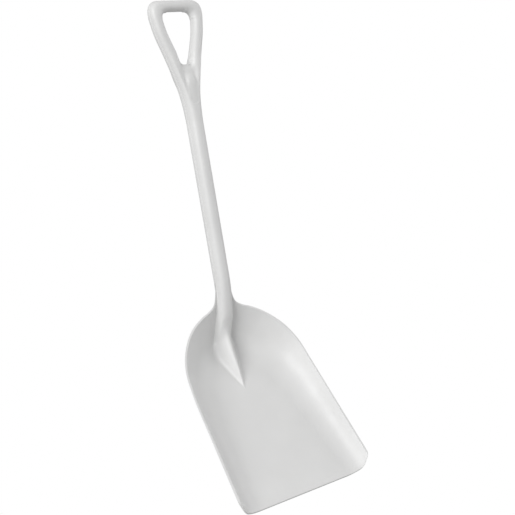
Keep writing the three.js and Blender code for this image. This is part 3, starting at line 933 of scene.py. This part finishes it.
def make_grip():
    """The yoke, the crossbar and the two arms, cut out of one surface."""
    points, quads = field_surface(grip_distance, FIELD_LOW, FIELD_HIGH, FIELD_SPACING)
    points[:, 1] += PARTING_Y + grip_lean(points[:, 2])
    whole = new_object("grip_whole", points, quads.tolist())
    yoke_bottom = ((0, 0, YOKE_BOTTOM_Z), (0, 0, -1))
    yoke_top = ((0, 0, ARM_BOTTOM_Z), (0, 0, 1))
    loop_bottom = ((0, 0, ARM_BOTTOM_Z), (0, 0, -1))
    yoke = cut_by_planes(whole, "forked_yoke", [yoke_bottom, yoke_top])
    loop = cut_by_planes(whole, "loop", [loop_bottom])
    bar_sides = [((side * BAR_HALF_LENGTH, 0, 0), (side, 0, 0)) for side in (-1, 1)]
    bar_bottom = ((0, 0, BAR_ROOM_Z), (0, 0, -1))
    bar = cut_by_planes(loop, "hand_bar", [*bar_sides, bar_bottom])
    bar_room = box_object("bar_room", (-BAR_HALF_LENGTH, -BAR_ROOM_REACH, BAR_ROOM_Z),
                          (BAR_HALF_LENGTH, BAR_ROOM_REACH, BAR_ROOM_REACH))
    arms = []
    for side, name in ((-1, "left_grip_arm"), (1, "right_grip_arm")):
        half = cut_by_planes(loop, "half_loop", [((0, 0, 0), (-side, 0, 0))])
        arms.append(cut_by_solid(half, name, bar_room, "DIFFERENCE"))
        discard(half)
    carry_normals(whole, yoke, bar, *arms)
    discard(whole, loop, bar_room)
    return yoke, bar, *arms


def box_object(name, low, high):
    """A box as a cutter."""
    corners = [(x, y, z) for x in (low[0], high[0]) for y in (low[1], high[1])
               for z in (low[2], high[2])]
    faces = [(0, 1, 3, 2), (4, 6, 7, 5), (0, 4, 5, 1), (2, 3, 7, 6), (0, 2, 6, 4), (1, 5, 7, 3)]
    return new_object(name, corners, faces)


# ---- Material ----


def white_polypropylene():
    """Satin natural-white polypropylene: slightly mottled, with a fine moulded grain, faint
    long flow ripples and a few scuffs."""
    material = bpy.data.materials.new("white_polypropylene")
    material.use_nodes = True
    tree = material.node_tree
    nodes, links = tree.nodes, tree.links
    surface = nodes["Principled BSDF"]
    place = nodes.new("ShaderNodeNewGeometry").outputs["Position"]

    def noise(scale, detail, roughness=0.5, vector=None):
        node = nodes.new("ShaderNodeTexNoise")
        node.inputs["Scale"].default_value = scale
        node.inputs["Detail"].default_value = detail
        node.inputs["Roughness"].default_value = roughness
        links.new(vector or place, node.inputs["Vector"])
        return node.outputs["Fac"]

    def streaks(scale, turn=0.0):
        """Noise with a different scale along each axis, turned about Y."""
        node = nodes.new("ShaderNodeMapping")
        node.inputs["Scale"].default_value = scale
        node.inputs["Rotation"].default_value = (0, turn, 0)
        links.new(place, node.inputs["Vector"])
        return noise(scale=1, detail=2, roughness=0.4, vector=node.outputs["Vector"])

    def spread(value, low, high, to_low, to_high):
        """The value's range from low to high, spread over the range from to_low to to_high."""
        node = nodes.new("ShaderNodeMapRange")
        for key, number in zip(("From Min", "From Max", "To Min", "To Max"),
                               (low, high, to_low, to_high)):
            node.inputs[key].default_value = number
        links.new(value, node.inputs["Value"])
        return node.outputs["Result"]

    def mixed(share, first, second, blend="MIX"):
        node = nodes.new("ShaderNodeMix")
        node.data_type = "RGBA"
        node.blend_type = blend
        by_name = {slot.identifier: slot for slot in node.inputs}
        for key, source in (("Factor_Float", share), ("A_Color", first), ("B_Color", second)):
            if isinstance(source, (float, tuple)):
                by_name[key].default_value = source
            else:
                links.new(source, by_name[key])
        return next(slot for slot in node.outputs if slot.identifier == "Result_Color")

    def arithmetic(operation, first, second):
        node = nodes.new("ShaderNodeMath")
        node.operation = operation
        links.new(first, node.inputs[0])
        links.new(second, node.inputs[1])
        return node.outputs[0]

    def bump(height, distance, strength, normal=None):
        node = nodes.new("ShaderNodeBump")
        node.inputs["Distance"].default_value = distance
        node.inputs["Strength"].default_value = strength
        links.new(height, node.inputs["Height"])
        if normal:
            links.new(normal, node.inputs["Normal"])
        return node.outputs["Normal"]

    # Colour: a faint mottle over decimetres, and specks a millimetre or two across.
    mottle = spread(noise(scale=9, detail=3), 0.35, 0.65, 0.0, 1.0)
    colour = mixed(mottle, BRIGHT_PLASTIC, DIM_PLASTIC)
    specks = spread(noise(scale=420, detail=2, roughness=0.6), 0.72, 0.80, 0.0, 0.22)
    colour = mixed(specks, colour, SPECK)

    # Scuffs, in patches: thin marks along the way that grain slides, and crossing ones.
    along = streaks(scale=(900, 60, 60), turn=0.12)
    crossing = streaks(scale=(70, 500, 700), turn=-0.5)
    lines = spread(mixed(0.5, along, crossing, "LIGHTEN"), 0.66, 0.74, 0.0, 1.0)
    patches = spread(noise(scale=14, detail=2), 0.48, 0.66, 0.0, 1.0)
    scuffs = arithmetic("MULTIPLY", lines, patches)
    colour = mixed(spread(scuffs, 0.0, 1.0, 0.0, 0.16), colour, SCUFF)
    links.new(colour, surface.inputs["Base Color"])

    # Gloss: satin, uneven over centimetres, duller where it is scuffed.
    satin = spread(noise(scale=38, detail=4), 0.3, 0.7, 0.36, 0.44)
    dull = spread(scuffs, 0.0, 1.0, 0.0, 0.2)
    links.new(arithmetic("ADD", satin, dull), surface.inputs["Roughness"])

    # Relief, with distances in metres: moulded grain, flow ripples along the shaft, scuffs.
    relief = bump(noise(scale=1400, detail=2), distance=0.00005, strength=0.35)
    relief = bump(streaks(scale=(60, 60, 16)), distance=0.0006, strength=0.12, normal=relief)
    relief = bump(scuffs, distance=0.00004, strength=0.4, normal=relief)
    links.new(relief, surface.inputs["Normal"])

    surface.inputs["IOR"].default_value = POLYPROPYLENE_IOR
    return material


# ---- Pieces ----

blade, neck = make_scoop()
shaft = make_shaft()
yoke, bar, left_arm, right_arm = make_grip()

plastic = white_polypropylene()
for piece, node in (
    (blade, "blade"),
    (neck, "neck"),
    (shaft, "shaft"),
    (yoke, "yoke"),
    (left_arm, "left_arm"),
    (right_arm, "right_arm"),
    (bar, "crossbar"),
):
    piece.data.materials.clear()
    piece.data.materials.append(plastic)
    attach(piece, "root")
    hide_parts(node)

# ---- Floor, light and camera ----


def white_to_camera(tree, lit_by, white):
    """A shader that is plain white where the camera sees it, and lights the shovel as lit_by."""
    mix = tree.nodes.new("ShaderNodeMixShader")
    seen = tree.nodes.new("ShaderNodeLightPath").outputs["Is Camera Ray"]
    tree.links.new(seen, mix.inputs[0])
    tree.links.new(lit_by, mix.inputs[1])
    tree.links.new(white, mix.inputs[2])
    return mix.outputs[0]


def make_floor():
    """A pale floor a little below the hanging shovel."""
    z = CAD_BOX[0].z - FLOOR_DROP
    corners = [(x * FLOOR_REACH, y * FLOOR_REACH, z)
               for x, y in ((-1, -1), (1, -1), (1, 1), (-1, 1))]
    mesh = bpy.data.meshes.new("floor")
    mesh.from_pydata(corners, [], [(0, 1, 2, 3)])
    floor = bpy.data.objects.new("floor", mesh)
    bpy.context.scene.collection.objects.link(floor)
    material = bpy.data.materials.new("pale_floor")
    material.use_nodes = True
    tree = material.node_tree
    surface = tree.nodes["Principled BSDF"]
    surface.inputs["Base Color"].default_value = FLOOR_COLOUR
    surface.inputs["Roughness"].default_value = FLOOR_ROUGHNESS
    white = tree.nodes.new("ShaderNodeEmission")
    shown = white_to_camera(tree, surface.outputs[0], white.outputs[0])
    tree.links.new(shown, tree.nodes["Material Output"].inputs["Surface"])
    mesh.materials.append(material)


def area_light(name, place, size, power):
    """A square light at a place counted from the shovel's middle, and facing it."""
    data = bpy.data.lights.new(name, "AREA")
    data.shape = "SQUARE"
    data.size = size
    data.energy = power
    light = bpy.data.objects.new(name, data)
    light.location = (CAD_BOX[0] + CAD_BOX[1]) / 2 + Vector(place)
    light.rotation_mode = "QUATERNION"
    light.rotation_quaternion = (-Vector(place)).to_track_quat("-Z", "Y")
    bpy.context.scene.collection.objects.link(light)


def make_light():
    """Even light from all round, a soft key from the left and a wide, weaker fill from the
    right, both from in front and above."""
    world = bpy.data.worlds.new("studio")
    world.use_nodes = True
    tree = world.node_tree
    around = tree.nodes["Background"]
    around.inputs["Color"].default_value = WHITE
    around.inputs["Strength"].default_value = SURROUNDING_LIGHT
    white = tree.nodes.new("ShaderNodeBackground")
    white.inputs["Color"].default_value = WHITE
    shown = white_to_camera(tree, around.outputs[0], white.outputs[0])
    tree.links.new(shown, tree.nodes["World Output"].inputs["Surface"])
    bpy.context.scene.world = world
    area_light("key", KEY_PLACE, KEY_SIZE, KEY_POWER)
    area_light("fill", FILL_PLACE, FILL_SIZE, FILL_POWER)


def make_camera():
    """A short telephoto in front of the shovel, to its left and just above its middle."""
    data = bpy.data.cameras.new("camera")
    data.sensor_width = SENSOR_WIDTH
    data.lens = FOCAL_LENGTH
    camera = bpy.data.objects.new("camera", data)
    turned = Matrix.Rotation(-CAMERA_TURN, 4, "Z")
    tipped = Matrix.Rotation(math.pi / 2 - CAMERA_TIP, 4, "X")
    rolled = Matrix.Rotation(CAMERA_ROLL, 4, "Z")
    camera.matrix_world = Matrix.Translation(CAMERA_PLACE) @ turned @ tipped @ rolled
    bpy.context.scene.collection.objects.link(camera)
    bpy.context.scene.camera = camera


make_floor()
make_light()
make_camera()

scene = bpy.context.scene
scene.view_settings.view_transform = "Standard"
